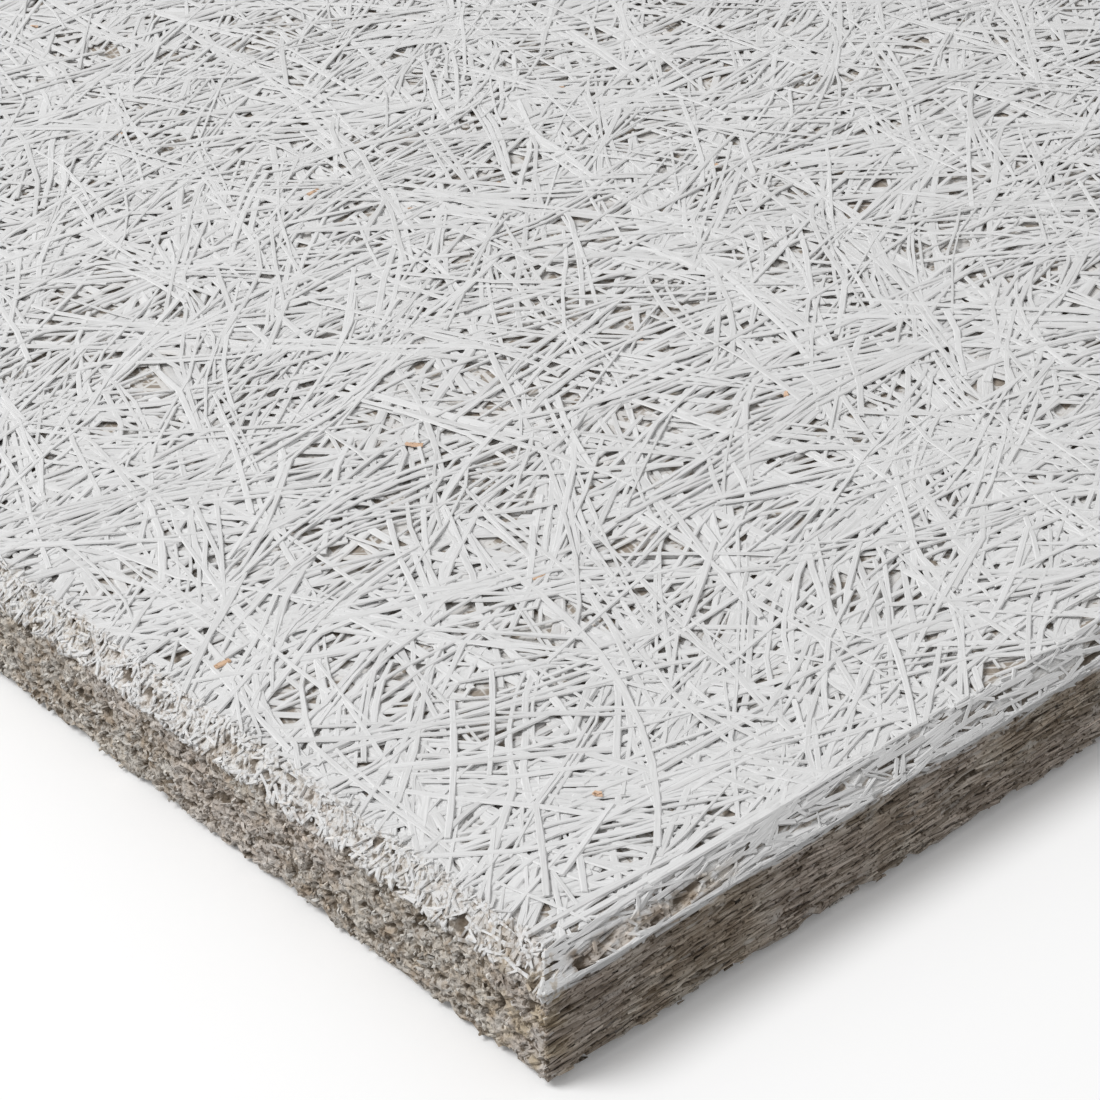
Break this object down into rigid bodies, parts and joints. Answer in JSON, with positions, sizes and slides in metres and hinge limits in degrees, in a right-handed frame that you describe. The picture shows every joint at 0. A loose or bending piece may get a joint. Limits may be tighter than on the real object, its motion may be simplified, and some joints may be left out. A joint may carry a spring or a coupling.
{
  "type": "wood wool acoustic panel",
  "caption": "Square board of pressed, cement-bound wood wool strands: open felted face sprayed white, bevelled edges all round, raw sawn sides and a flat raw back.",
  "frame": {"origin": "middle of the flat back, on the plane that the board rests on", "axes": "+X along the main run of the strands, +Y across it, +Z out of the painted face"},
  "size_m": [0.6, 0.6, 0.025],
  "materials": {
    "painted_wood_wool": "matt white spray paint on bare wood wool strands",
    "raw_wood_wool": "raw sawn wood wool, grey-beige with cement"
  },
  "bodies": {
    "root": {"panel": "painted_wood_wool"}
  },
  "joints": []
}
